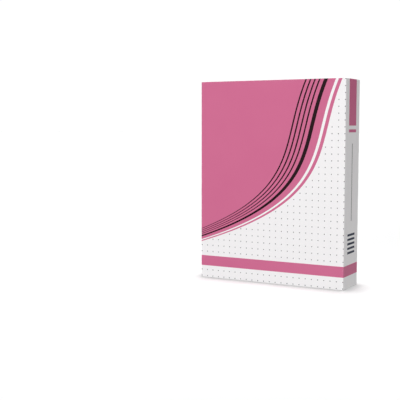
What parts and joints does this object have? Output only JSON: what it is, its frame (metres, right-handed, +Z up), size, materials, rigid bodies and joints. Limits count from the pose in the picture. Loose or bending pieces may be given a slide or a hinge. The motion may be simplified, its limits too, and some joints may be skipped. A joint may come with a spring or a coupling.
{
  "type": "ream of paper",
  "caption": "Sealed ream of letter-size paper: a flat rectangular pack in a printed wrapper with folded ends, standing upright on its short end.",
  "frame": {"origin": "middle of the lower end, on the surface that the pack stands on", "axes": "+Z up along the sheets' length, +X across the pack's width to the right of the printed face, -Y out of the printed face"},
  "size_m": [0.2172, 0.0539, 0.2806],
  "materials": {
    "wrapper_paper": "satin, printed with rose fields and a fine grey dot grid"
  },
  "bodies": {
    "root": {"wrapped_ream": "wrapper_paper"}
  },
  "joints": []
}
